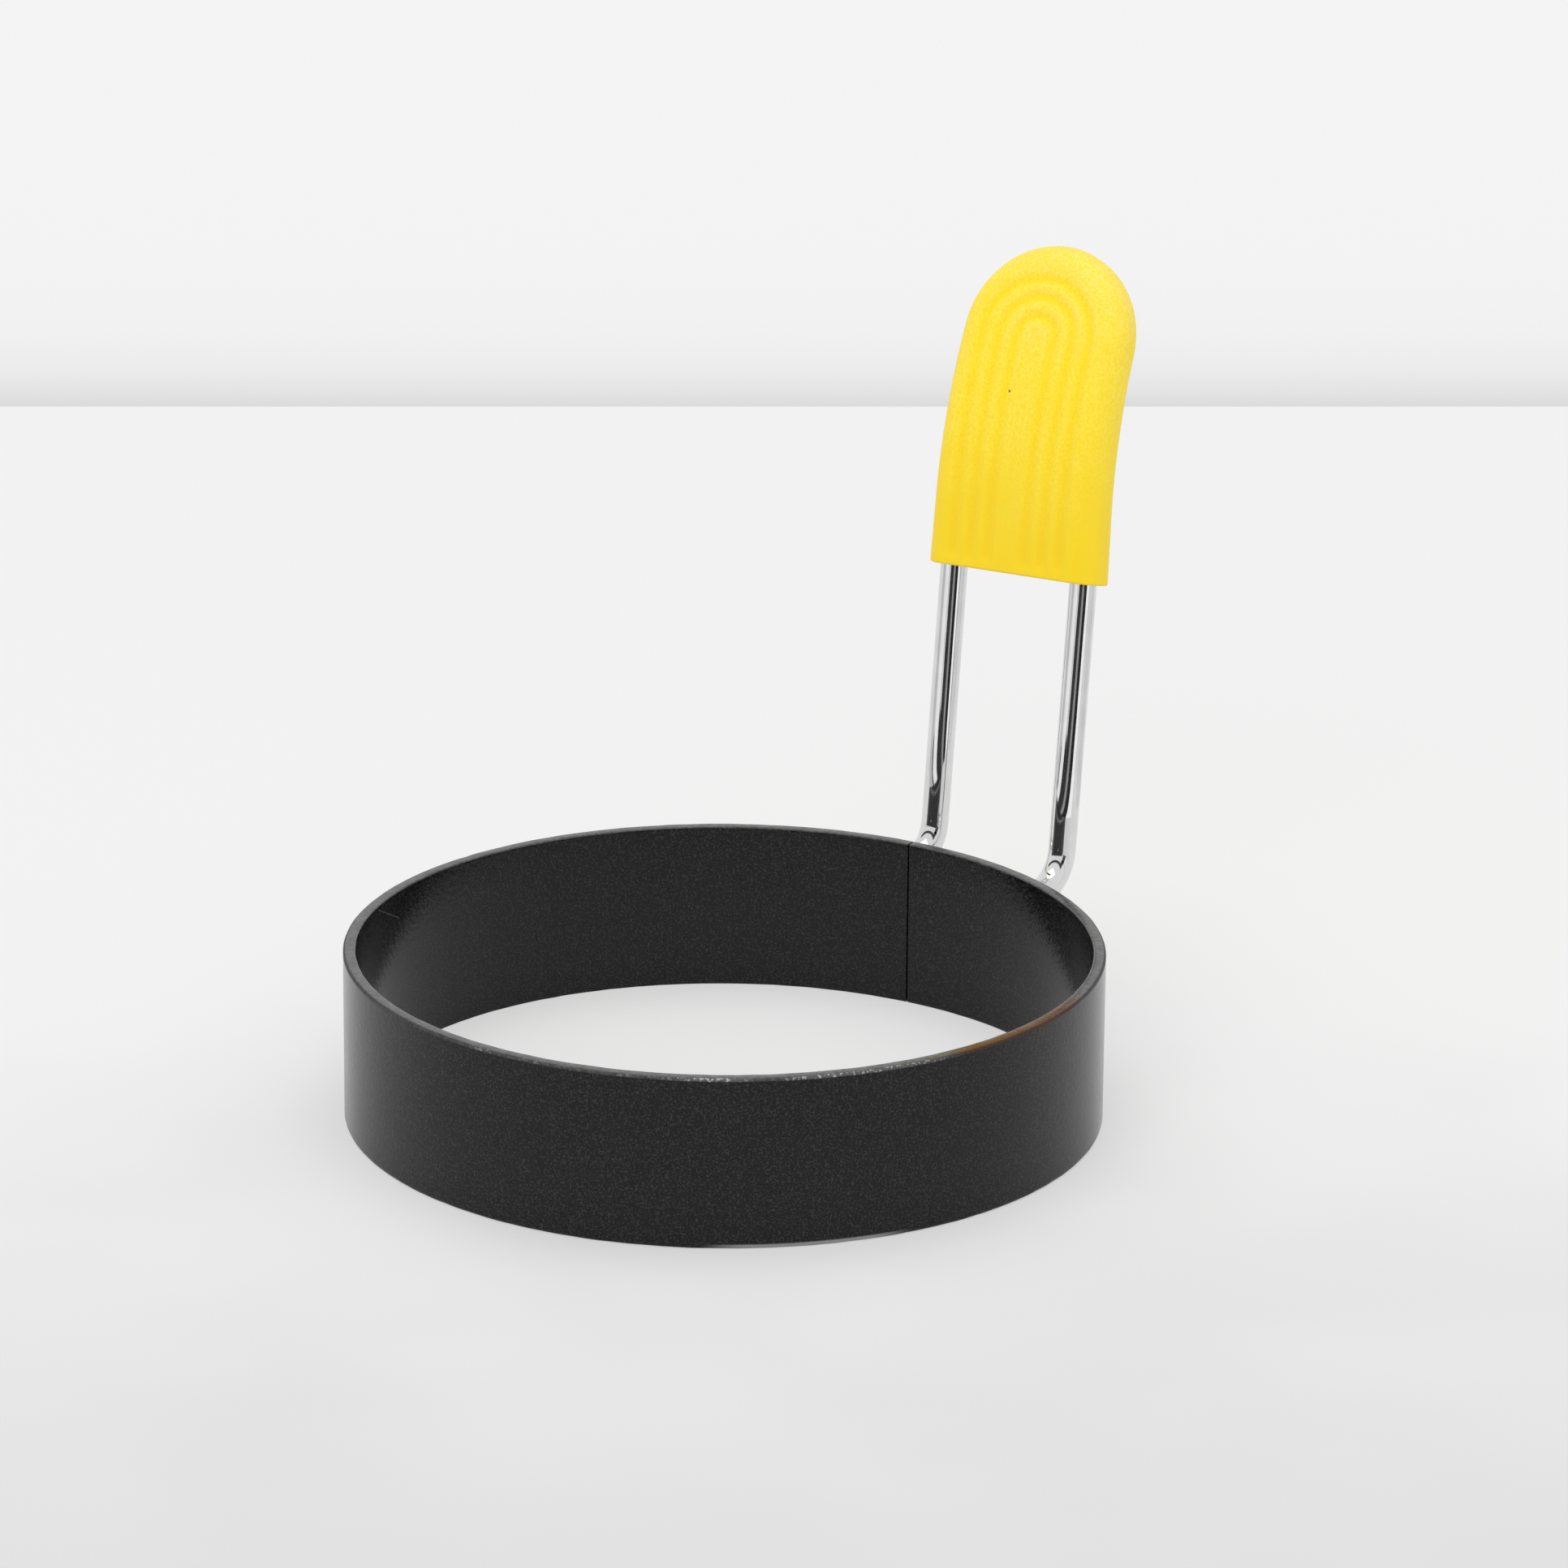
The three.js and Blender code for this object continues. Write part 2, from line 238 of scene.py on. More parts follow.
# Camera at the photograph's viewpoint.
CAMERA_PLACE = Vector((502.3, -721.3, 328.9)) * MM
CAMERA_HEADING = math.radians(34.97)
CAMERA_PITCH = math.radians(18.395)
CAMERA_ROLL = math.radians(0.495)
CAMERA_LENS = 178.88
CAMERA_SENSOR = 36
CAMERA_NEAR = 0.01
CAMERA_FAR = 20

# Floor, whose far edge shows as a level line at this share of the picture's height, from its top.
FAR_EDGE_SHARE = 0.2593
FLOOR_SPREAD = 4
FLOOR_DEPTH = 1.8
# Painted light: the floor is lighter far off and darker near the camera, as light falling off towards
# the front.
LIT_FAR_FLOOR = grey(0.82)
SHADED_NEAR_FLOOR = grey(0.69)
FAR_TO_NEAR = (-0.05, 0.17)
MOTTLE_LENGTH = 60 * MM
MOTTLE_SHIFT = (-0.02, 0.02)
FLOOR_ROUGHNESS = 0.8
FLOOR_GLOW = 1.1
GLOW_SHARE = 0.48

# Reflector cards that draw the lines in the wire: from and to, in degrees right of the camera,
# and shade.
CARDS = (
    (-100, -78, 0.62),
    (-70, -42, 1.05),
    (-29, -4, 0.02),
    (-4, 11, 0.31),
    (11, 33, 0.0),
    (34, 52, 1.15),
    (72, 108, 0.76),
)
CARD_REACH = (15 * MM, 1500 * MM)
CARD_HEIGHT = BAND_HEIGHT + 1.5 * MM

# Soft lamps: degrees right of the camera, degrees above the floor, distance, size, power,
# and whether shiny things show them.
LAMPS = (
    ("front_lamp", -14, 25, 3.0, 2.4, 32.0, False),
    ("top_lamp", 180, 84, 3.0, 2.4, 27.5, True),
    ("right_lamp", 110, 12, 3.0, 1.2, 6.5, False),
    ("left_lamp", -110, 12, 3.0, 1.2, 3.0, False),
)

# Light from all round, level and from overhead, and the background, which darkens towards the floor.
LEVEL_LIGHT = 0.74
OVERHEAD_LIGHT = 0.66
BACKGROUND = 0.90
DUSK = 0.19
DUSK_FALL = 220
DUSK_START = (0.0, 0.03)

# Dark frame that only shiny things show: a post to the right of the camera and a beam above.
# Each pair is a soft edge: sideways as a share of the way ahead, upwards as the sine of the rise.
FRAME_DARKNESS = 0.85
FRAME_TOP = (0.66, 0.62)
POST_LEFT = (0.16, 0.22)
POST_RIGHT = (0.70, 0.62)
POST_AHEAD = (0.0, 0.2)
LEAST_AHEAD = 0.001
BEAM_FOOT = (0.46, 0.50)
BEAM_BEARING = -40
BEAM_AHEAD = (0.1, 0.3)


# Shapes


def smooth_step(value, start, end):
    share = np.clip((value - start) / (end - start), 0, 1)
    return share * share * (3 - 2 * share)


def arc(centre_x, centre_y, radius, start, end, steps):
    """Points on an arc, as x and y columns, with angles in quarter turns."""
    angles = np.linspace(start, end, steps + 1) * math.pi / 2
    return np.stack([centre_x + radius * np.cos(angles), centre_y + radius * np.sin(angles)], 1)


def side_view(along):
    """y, z and lean of the handle's middle line, by distance along it from the sleeve's mouth."""
    along = np.asarray(along, float)
    turned = (along + LEG_LENGTH) / BEND_RADIUS + BEND_TURN
    stub = np.minimum(turned, 0) * BEND_RADIUS
    turned = np.clip(turned, 0, BEND_TURN)
    straight = np.clip(along + LEG_LENGTH, 0, LEG_LENGTH + CURVE_START)
    lean = LEAN + np.maximum(along - CURVE_START, 0) / CURVE_RADIUS
    y = AXIS_Y + BAND_RADIUS + STUB_REACH + stub
    y = y + BEND_RADIUS * np.sin(turned) + straight * math.sin(LEAN)
    y = y + CURVE_RADIUS * (math.cos(LEAN) - np.cos(lean))
    z = STUB_HEIGHT + BEND_RADIUS * (1 - np.cos(turned)) + straight * math.cos(LEAN)
    z = z + CURVE_RADIUS * (np.sin(lean) - math.sin(LEAN))
    return y, z, lean + BEND_TURN - turned


def bent(across, along, outward=0.0):
    """Points of the handle laid flat, carried onto its bent shape."""
    y, z, lean = side_view(along)
    across = np.broadcast_to(across, np.shape(y + outward))
    return np.stack([across, y + outward * np.cos(lean), z - outward * np.sin(lean)], -1)


def wire_offset(along):
    """Distance of the wire from the handle's middle plane: the legs draw together in the sleeve."""
    share = np.clip(np.asarray(along, float) / SLEEVE_RUN, 0, 1)
    return LEG_OFFSET + (LOOP_RADIUS - LEG_OFFSET) * share


def ripple(point, length, seed):
    """Smooth noise from -1 to 1 that changes over the given length."""
    return noise.noise(Vector(point) / length + Vector((seed, seed, seed)))


def grid_faces(rows, columns, wrap_rows=False, wrap_columns=False, first=0):
    """Quads of a grid of points numbered row by row."""
    faces = []
    for i in range(rows if wrap_rows else rows - 1):
        here = first + i * columns
        there = first + ((i + 1) % rows) * columns
        for j in range(columns if wrap_columns else columns - 1):
            beside = (j + 1) % columns
            faces.append((here + j, there + j, there + beside, here + beside))
    return faces


def end_faces(rows, columns):
    """Faces that close the first and the last row of a tube of points."""
    last = (rows - 1) * columns
    return [tuple(range(columns)), tuple(range(last, last + columns))[::-1]]


def make_piece(name, points, faces, sharp_degrees=SHARP_DEGREES, **marks):
    """A closed mesh object with merged points, outward faces, smooth shading and named vectors."""
    mesh = bpy.data.meshes.new(name)
    mesh.from_pydata(np.reshape(points, (-1, 3)).tolist(), [], faces)
    shape = bmesh.new()
    shape.from_mesh(mesh)
    for mark, values in marks.items():
        layer = shape.verts.layers.float_vector.new(mark)
        for vertex, value in zip(shape.verts, np.reshape(values, (-1, 3)).tolist()):
            vertex[layer] = value
    bmesh.ops.remove_doubles(shape, verts=shape.verts, dist=MERGE_DISTANCE)
    bmesh.ops.recalc_face_normals(shape, faces=shape.faces)
    shape.to_mesh(mesh)
    shape.free()
    mesh.polygons.foreach_set("use_smooth", [True] * len(mesh.polygons))
    mesh.set_sharp_from_angle(angle=math.radians(sharp_degrees))
    piece = bpy.data.objects.new(name, mesh)
    bpy.context.scene.collection.objects.link(piece)
    return piece


# Band


def wall_points(radius, start, end):
    """Points between two edges, with one close to each edge, which keeps the wall flat up to it."""
    near = math.copysign(WALL_END, end - start)
    heights = np.linspace(start + near, end - near, WALL_ROWS)
    return np.stack([np.full(WALL_ROWS, radius), heights], 1)


def band_section():
    """Closed outline of the strip, as radius and height, and which points lie off its walls."""
    inner = BAND_RADIUS - BAND_THICKNESS
    outer = BAND_RADIUS
    low, high = 0.0, BAND_HEIGHT
    big, small = OUTER_EDGE_RADIUS, INNER_EDGE_RADIUS
    section = np.concatenate([
        arc(outer - big, low + big, big, -1, 0, OUTER_EDGE_STEPS),
        wall_points(outer, low + big, high - big),
        arc(outer - big, high - big, big, 0, 1, OUTER_EDGE_STEPS),
        arc(inner + small, high - small, small, 1, 2, INNER_EDGE_STEPS),
        wall_points(inner, high - small, low + small),
        arc(inner + small, low + small, small, 2, 3, INNER_EDGE_STEPS),
    ])
    on_wall = np.isclose(section[:, 0], outer) | np.isclose(section[:, 0], inner)
    return section, ~on_wall


def build_band():
    """The strip rolled into a hoop with an open seam. Only its edges wave, and its walls are even."""
    section, on_edge = band_section()
    seam = math.asin(SEAM_OFFSET / BAND_RADIUS)
    half_gap = SEAM_GAP / 2 / BAND_RADIUS
    turns = np.linspace(seam + half_gap, seam + 2 * math.pi - half_gap, BAND_STEPS)
    points = np.zeros((BAND_STEPS, len(section), 3))
    for i, turn in enumerate(turns):
        outwards = np.array([-math.sin(turn), math.cos(turn), 0])
        rings = section[:, :1] * outwards
        rings[:, 2] = section[:, 1]
        for j in np.nonzero(on_edge)[0]:
            rings[j] += outwards * EDGE_WAVE * ripple(rings[j], EDGE_WAVE_LENGTH, SIDEWAYS_WAVE_SEED)
            rise = EDGE_WAVE * ripple(rings[j], EDGE_WAVE_LENGTH, UPRIGHT_WAVE_SEED)
            rings[j, 2] = max(rings[j, 2] + rise, 0)
        points[i] = rings
    points[..., 1] += AXIS_Y
    faces = grid_faces(BAND_STEPS, len(section), wrap_columns=True)
    faces += end_faces(BAND_STEPS, len(section))
    return make_piece("band", points, faces)


# Handle


def wire_line():
    """Points on the wire's middle line, from the right stub over the loop to the left stub."""
    wall_y = math.sqrt(BAND_RADIUS**2 - LEG_OFFSET**2)
    leg = LEG_LENGTH + BEND_RADIUS * BEND_TURN + STUB_REACH + BAND_RADIUS - wall_y
    bend_end = -LEG_LENGTH - BEND_RADIUS * BEND_TURN
    down = np.concatenate([
        np.linspace(SLEEVE_RUN, -LEG_LENGTH + LEG_TO_BEND[0], LEG_STEPS),
        np.linspace(-LEG_LENGTH + LEG_TO_BEND[1], bend_end - BEND_TO_STUB[0], BEND_STEPS),
        np.linspace(bend_end - BEND_TO_STUB[1], -leg, STUB_STEPS),
    ])
    right = bent(wire_offset(down), down)
    turns = np.linspace(0, math.pi, LOOP_STEPS + 1)[1:-1]
    loop = bent(LOOP_RADIUS * np.cos(turns), SLEEVE_RUN + LOOP_RADIUS * np.sin(turns))
    left = right * np.array([-1, 1, 1])
    return np.concatenate([right[::-1], loop, left])


def build_wire():
    line = wire_line()
    direction = np.gradient(line, axis=0)
    direction /= np.linalg.norm(direction, axis=1, keepdims=True)
    travelled = np.concatenate([[0], np.cumsum(np.linalg.norm(np.diff(line, axis=0), axis=1))])
    angles = np.linspace(0, 2 * math.pi, WIRE_SIDES, endpoint=False)
    points = np.zeros((len(line), WIRE_SIDES, 3))
    grain = np.zeros((len(line), WIRE_SIDES, 3))
    across = np.array([1.0, 0.0, 0.0])
    for i, (place, ahead) in enumerate(zip(line, direction)):
        across = across - ahead * (across @ ahead)
        across /= np.linalg.norm(across)
        upright = np.cross(ahead, across)
        ring = np.outer(np.cos(angles), across) + np.outer(np.sin(angles), upright)
        points[i] = place + WIRE_RADIUS * ring
        grain[i] = np.stack([np.cos(angles), np.sin(angles), np.full(WIRE_SIDES, travelled[i])], 1)
    faces = grid_faces(len(line), WIRE_SIDES, wrap_columns=True)
    faces += end_faces(len(line), WIRE_SIDES)
    return make_piece("wire", points, faces, grain=grain)


def build_weld(name, side):
    """A bead round one stub: a slightly hollow slope, uneven on top and closed inside the metal."""
    slope = np.linspace(0, 1, WELD_SLOPE_STEPS)
    hollow = np.sin(math.pi * slope)
    reach = np.concatenate([
        WIRE_RADIUS + WELD_LEG * (1 - slope) - WELD_HOLLOW * hollow,
        [WIRE_RADIUS - WELD_DEPTH, WIRE_RADIUS - WELD_DEPTH, WIRE_RADIUS + WELD_LEG],
    ])
    height = np.concatenate([
        WELD_LEG * slope - WELD_HOLLOW * hollow,
        [WELD_LEG, -WELD_DEPTH, -WELD_DEPTH],
    ])
    free = np.concatenate([hollow, [0, 0, 0]])
    points = np.zeros((WELD_STEPS, len(reach), 3))
    for i, angle in enumerate(np.linspace(0, 2 * math.pi, WELD_STEPS, endpoint=False)):
        ray = np.array([math.cos(angle), 0, math.sin(angle)])
        lobe = 1 + WELD_LOBE * ripple(ray, WELD_LOBE_LENGTH, WELD_LOBE_SEED * side)
        for j in range(len(reach)):
            spread = WIRE_RADIUS + (reach[j] - WIRE_RADIUS) * lobe
            place = ray * spread + np.array([side * LEG_OFFSET, 0, STUB_HEIGHT])
            uneven = WELD_RIPPLE * free[j] * ripple(place, WELD_RIPPLE_LENGTH, WELD_RIPPLE_SEED)
            place += ray * uneven
            place[1] = AXIS_Y + math.sqrt(BAND_RADIUS**2 - place[0]**2) + height[j] + uneven
            points[i, j] = place
    faces = grid_faces(WELD_STEPS, len(reach), wrap_rows=True, wrap_columns=True)
    return make_piece(name, points, faces, WELD_SHARP_DEGREES)


# Sleeve


def groove_share(across, along):
    """How deep a point lies in the arch-shaped grooves, which fade out just above the mouth."""
    share = np.zeros_like(across)
    for i in range(GROOVE_COUNT):
        aside = (across - GROOVE_INNER_RADIUS - i * GROOVE_PITCH) / (GROOVE_WIDTH / 2)
        share += (1 + np.cos(math.pi * np.clip(aside, -1, 1))) / 2
    return share * smooth_step(along, *GROOVE_FADE)


def both_faces(front):
    """Adds the mirrored back to the front of a half section of across, outward and groove share."""
    return np.concatenate([front, front[::-1] * np.array([1, -1, 1])])


def ungrooved(points):
    """Gives points of a half section a groove share of 0."""
    return np.column_stack([points, np.zeros(len(points))])


def sleeve_half_section(along, arch=1.0):
    """Half of the sleeve's outline, from the middle of one face round the edge to the other face."""
    short = max(MOUTH_ROUND - along, 0)
    inset = MOUTH_ROUND - math.sqrt(MOUTH_ROUND**2 - short**2)
    half = wire_offset(along) + POCKET_HALF_DEPTH + SLEEVE_WALL - inset
    radius = SLEEVE_EDGE_RADIUS - inset
    face = SLEEVE_HALF_DEPTH - inset
    across = np.linspace(0, half - radius, FACE_STEPS, endpoint=False)
    share = groove_share(across * arch, along)
    flat = np.column_stack([across, GROOVE_DEPTH * share - face, share])
    edge = ungrooved(arc(half - radius, radius - face, radius, -1, 0, SLEEVE_EDGE_STEPS))
    return both_faces(np.concatenate([flat, edge]))


def pocket_half_section(along, _arch=1.0):
    """Half of the pocket's outline, with as many points in the same order. It has no grooves to arch."""
    offset = wire_offset(along)
    stretch = 1 + LEAD_IN * max(1 - along / LEAD_IN_DEPTH, 0) / POCKET_HALF_DEPTH
    across = np.linspace(0, offset, FACE_STEPS, endpoint=False)
    flat = np.column_stack([across, np.full(FACE_STEPS, -POCKET_HALF_DEPTH)])
    edge = arc(offset, 0, POCKET_HALF_DEPTH, -1, 0, SLEEVE_EDGE_STEPS)
    return both_faces(ungrooved(np.concatenate([flat, edge]) * np.array([1, stretch])))


def tongue_skin(section, turn):
    """Points and groove shares of a skin that runs up the tongue, round its tip and down again."""
    lip = MOUTH_ROUND * (1 - np.cos(np.linspace(0, math.pi / 2, LIP_STEPS + 1)))
    stops = np.concatenate([lip, np.linspace(MOUTH_ROUND, SLEEVE_RUN, RUN_STEPS + 1)[1:]])
    rows = [(-1, 0, section(along), along) for along in stops]
    for angle in np.linspace(math.pi, 0, TIP_STEPS + 1)[1:-1]:
        sideways, upwards = math.cos(angle), math.sin(angle)
        arch = math.hypot(sideways, upwards / ARCH_SQUASH)
        rows.append((sideways, upwards, section(SLEEVE_RUN, arch), SLEEVE_RUN))
    rows += [(1, 0, section(along), along) for along in stops[::-1]]
    points, shares = [], []
    for sideways, upwards, half, start in rows:
        across = half[:, 0] * sideways
        extra = TIP_EXTRA * smooth_step(half[:, 0], TIP_START, TIP_END)
        along = start + (half[:, 0] + extra) * upwards
        uneven = MOUTH_SLANT * across - MOUTH_RAKE * (half[:, 1] + SLEEVE_HALF_DEPTH)
        along = along + uneven * (1 - smooth_step(along, 0, MOUTH_BLEND))
        points.append(bent(across - turn * along, along, half[:, 1]))
        shares.append(np.outer(half[:, 2], np.ones(3)))
    return np.array(points), np.array(shares)


def build_sleeve():
    outside, shares = tongue_skin(sleeve_half_section, SLEEVE_TURN)
    inside, smooth = tongue_skin(pocket_half_section, 0.0)
    rows, columns = outside.shape[:2]
    first = rows * columns
    faces = grid_faces(rows, columns)
    faces += grid_faces(rows, columns, first=first)
    for row in (0, rows - 1):
        start = row * columns
        for j in range(start, start + columns - 1):
            faces.append((j, j + 1, first + j + 1, first + j))
    points = np.concatenate([outside, inside])
    return make_piece("sleeve", points, faces, groove=np.concatenate([shares, smooth]))


# Materials


def fill(tree, node, inputs):
    """Sets a node's inputs, by name or number, to numbers or colours, or links sockets to them."""
    for key, value in inputs.items():
        if isinstance(value, bpy.types.NodeSocket):
            tree.links.new(value, node.inputs[key])
        else:
            node.inputs[key].default_value = value


def add_node(tree, kind, inputs=None, **settings):
    made = tree.nodes.new(kind)
    for name, value in settings.items():
        setattr(made, name, value)
    fill(tree, made, inputs or {})
    return made


def mix_colour(tree, share, first, second, blend="MIX"):
    inputs = {0: share, 6: first, 7: second}
    made = add_node(tree, "ShaderNodeMix", inputs, data_type="RGBA", blend_type=blend)
    return made.outputs[2]


def mix_value(tree, share, first, second):
    made = add_node(tree, "ShaderNodeMix", {0: share, 2: first, 3: second}, data_type="FLOAT")
    return made.outputs[0]


def maths(tree, operation, first, second=0.0):
    return add_node(tree, "ShaderNodeMath", {0: first, 1: second}, operation=operation).outputs[0]


def times(tree, first, *others):
    for other in others:
        first = maths(tree, "MULTIPLY", first, other)
    return first


def vector_maths(tree, operation, first, second):
    """A number worked out from two vectors."""
    inputs = {0: first, 1: second}
    return add_node(tree, "ShaderNodeVectorMath", inputs, operation=operation).outputs[1]


def ease(tree, value, start, end, low=0.0, high=1.0):
    """A smooth change from low to high while value goes from start to end."""
    inputs = {"Value": value, "From Min": start, "From Max": end, "To Min": low, "To Max": high}
    return add_node(tree, "ShaderNodeMapRange", inputs, interpolation_type="SMOOTHSTEP").outputs[0]


def spots(tree, place, length, detail=PLAIN_DETAIL):
    """Noise from about 0.3 to 0.7 that changes over the given length."""
    inputs = {"Vector": place, "Scale": 1 / length, "Detail": detail}
    return add_node(tree, "ShaderNodeTexNoise", inputs).outputs[0]


def near_point(tree, place, point, spread):
    """1 close to a point, falling to 0 over a pair of distances from it."""
    away = vector_maths(tree, "DISTANCE", place, point)
    return ease(tree, away, *spread, 1.0, 0.0)


def bump(tree, height, depth, strength, below=None):
    inputs = {"Height": height, "Distance": depth, "Strength": strength}
    if below is not None:
        inputs["Normal"] = below
    return add_node(tree, "ShaderNodeBump", inputs).outputs[0]


def split_place(tree, place):
    return add_node(tree, "ShaderNodeSeparateXYZ", {0: place}).outputs


def new_material(name):
    material = bpy.data.materials.new(name)
    material.use_nodes = True
    tree = material.node_tree
    shader = tree.nodes["Principled BSDF"]
    place = add_node(tree, "ShaderNodeTexCoord").outputs["Object"]
    return material, tree, shader, place


def scratch_mark(tree, split):
    """A thin straight mark on the band's wall, between the scratch's two ends."""
    start, end = SCRATCH_START, SCRATCH_END
    fall = (end.z - start.z) / (end.y - start.y)
    level = maths(tree, "SUBTRACT", split[2], times(tree, split[1], fall))
    away = maths(tree, "ABSOLUTE", maths(tree, "SUBTRACT", level, start.z - fall * start.y))
    line = ease(tree, away, *SCRATCH_WIDTH, 1.0, 0.0)
    after_start = maths(tree, "GREATER_THAN", split[1], start.y)
    before_end = maths(tree, "LESS_THAN", split[1], end.y)
    on_left = maths(tree, "LESS_THAN", split[0], 0.0)
    return times(tree, line, after_start, before_end, on_left)


def coating_material():
    """Black non-stick coating with a fine grain, chipped and scuffed in front, and painted light and
    reflection on the rim.
    """
    material, tree, shader, place = new_material("black_coating")
    split = split_place(tree, place)
    from_axis = add_node(tree, "ShaderNodeCombineXYZ", {0: split[0], 1: split[1]}).outputs[0]
    radius = vector_maths(tree, "DISTANCE", from_axis, (0, AXIS_Y, 0))
    outer_edge = ease(tree, radius, *OUTER_EDGE_RADII)
    corner = times(tree, ease(tree, split[2], *TOP_EDGE_HEIGHTS), outer_edge)
    land = times(tree, ease(tree, split[2], *LAND_HEIGHTS), maths(tree, "SUBTRACT", 1.0, outer_edge))

    grain = spots(tree, place, COAT_GRAIN_LENGTH, FINE_DETAIL)
    coat = mix_colour(tree, ease(tree, grain, *COAT_GRAIN_RANGE), *COAT_GRAIN_SHADES)
    # Painted light on the rim's top: a lighter grey for the light that falls on it.
    painted_rim = ease(tree, spots(tree, place, RIM_LIGHT_LENGTH, FINE_DETAIL), *RIM_LIGHT_RANGE)
    painted_rim = mix_colour(tree, painted_rim, *RIM_LIGHT_SHADES)
    # Painted reflection: the grip's yellow, seen in the rim, is painted into the rim's colour as a brown
    # patch.
    painted_rim = mix_colour(tree, near_point(tree, place, GRIP_REFLECTION_PLACE, GRIP_REFLECTION_SPREAD), painted_rim, GRIP_REFLECTION_COLOUR)
    rim = maths(tree, "MAXIMUM", land, times(tree, corner, RIM_LIGHT_AT_CORNER))
    coat = mix_colour(tree, rim, coat, painted_rim)

    chips = ease(tree, spots(tree, place, CHIP_LENGTH), *CHIP_RANGE, *CHIP_SHARES)
    patches = ease(tree, spots(tree, place, PATCH_LENGTH, BROAD_DETAIL), *PATCH_RANGE, *PATCH_SHARES)
    front = near_point(tree, place, WEAR_PLACE, WEAR_SPREAD)
    worn = times(tree, times(tree, corner, chips), times(tree, patches, front))
    scuff = near_point(tree, place, SCUFF_PLACE, SCUFF_SPREAD)
    scuff = times(tree, scuff, ease(tree, split[2], *SCUFF_HEIGHTS), SCUFF_STRENGTH)
    scratch = times(tree, scratch_mark(tree, split), ease(tree, radius, *SCRATCH_RADII))
    scratch = times(tree, scratch, SCRATCH_STRENGTH)
    worn = maths(tree, "MAXIMUM", maths(tree, "MAXIMUM", worn, scuff), scratch)

    matt = ease(tree, spots(tree, place, COAT_CLOUD_LENGTH), *NOISE_RANGE, *COAT_ROUGHNESS)
    pebble = bump(tree, spots(tree, place, PEBBLE_LENGTH, FINE_DETAIL), *PEBBLE_BUMP)
    fill(tree, shader, {
        "Base Color": mix_colour(tree, worn, coat, BARE_STEEL),
        "Metallic": times(tree, worn, BARE_METALLIC),
        "Roughness": mix_value(tree, corner, matt, CORNER_ROUGHNESS),
        "IOR": COAT_IOR,
        "Normal": bump(tree, grain, *COAT_GRAIN_BUMP, pebble),
    })
    return material


def wire_material():
    """Bright drawn wire, with faint lines along its length."""
    material, tree, shader, place = new_material("bright_wire")
    grain = add_node(tree, "ShaderNodeAttribute", attribute_name="grain").outputs["Vector"]
    drawn = add_node(tree, "ShaderNodeMapping", {0: grain, 3: DRAWN_STRETCH}).outputs[0]
    lines = spots(tree, drawn, DRAWN_LENGTH, FINE_DETAIL)
    blotch = ease(tree, spots(tree, place, WIRE_BLOTCH_LENGTH), *NOISE_RANGE)
    fill(tree, shader, {
        "Base Color": mix_colour(tree, blotch, *WIRE_SHADES),
        "Metallic": WIRE_METALLIC,
        "Roughness": ease(tree, lines, *NOISE_RANGE, *WIRE_ROUGHNESS),
        "Normal": bump(tree, lines, *WIRE_BUMP),
    })
    return material


def weld_material():
    """Plated weld bead, duller than the wire, with a little heat colour."""
    material, tree, shader, place = new_material("weld_bead")
    heat = ease(tree, spots(tree, place, WELD_HEAT_LENGTH), *WELD_HEAT_RANGE)
    fine = spots(tree, place, WELD_GRAIN_LENGTH, FINE_DETAIL)
    fill(tree, shader, {
        "Base Color": mix_colour(tree, heat, *WELD_SHADES),
        "Metallic": 1.0,
        "Roughness": ease(tree, fine, *NOISE_RANGE, *WELD_ROUGHNESS),
        "Normal": bump(tree, fine, *WELD_BUMP),
    })
    return material


def silicone_material():
    """Yellow silicone: satin skin, bloom, glow at narrow edges, a speck of dirt, painted shade and
    sheen.
    """
    material, tree, shader, place = new_material("yellow_silicone")
    height = split_place(tree, place)[2]
    cloud = ease(tree, spots(tree, place, YELLOW_CLOUD_LENGTH), *NOISE_RANGE, *YELLOW_CLOUD_SHIFT)
    rise = maths(tree, "ADD", height, cloud)
    # Painted light: deeper, shaded yellow at the mouth, and paler yellow at the tip for sheen from
    # above.
    shade = mix_colour(tree, ease(tree, rise, *SHADED_TO_FULL), SHADED_MOUTH_YELLOW, FULL_YELLOW)
    shade = mix_colour(tree, ease(tree, rise, *FULL_TO_SHEEN), shade, SHEEN_TIP_YELLOW)
    grain = spots(tree, place, YELLOW_GRAIN_LENGTH, FINE_DETAIL)
    grain_share = ease(tree, grain, *NOISE_RANGE, *YELLOW_GRAIN_SHARES)
    shade = mix_colour(tree, grain_share, shade, YELLOW_GRAIN)
    # Painted shade: the grooves' colour is darkened by how deep a point lies in them.
    groove = add_node(tree, "ShaderNodeAttribute", attribute_name="groove").outputs["Fac"]
    shade = mix_colour(tree, groove, shade, GROOVE_PAINTED_SHADE, "MULTIPLY")
    speck = near_point(tree, place, SPECK_PLACE, SPECK_SPREAD)
    fill(tree, shader, {
        "Base Color": mix_colour(tree, speck, shade, SPECK_COLOUR),
        "Roughness": ease(tree, grain, *NOISE_RANGE, *SILICONE_ROUGHNESS),
        "IOR": SILICONE_IOR,
        "Sheen Weight": BLOOM,
        "Sheen Roughness": BLOOM_ROUGHNESS,
        "Subsurface Weight": INNER_GLOW,
        "Subsurface Radius": INNER_GLOW_RADIUS,
        "Subsurface Scale": INNER_GLOW_DEPTH,
        "Normal": bump(tree, grain, *YELLOW_GRAIN_BUMP),
    })
    return material


def dress(piece, material, body, slot, *nodes):
    """Gives a piece its material, and lets it stand for CAD nodes on their body."""
    piece.data.materials.append(material)
    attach(piece, body)
    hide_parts(*nodes)


# Stage


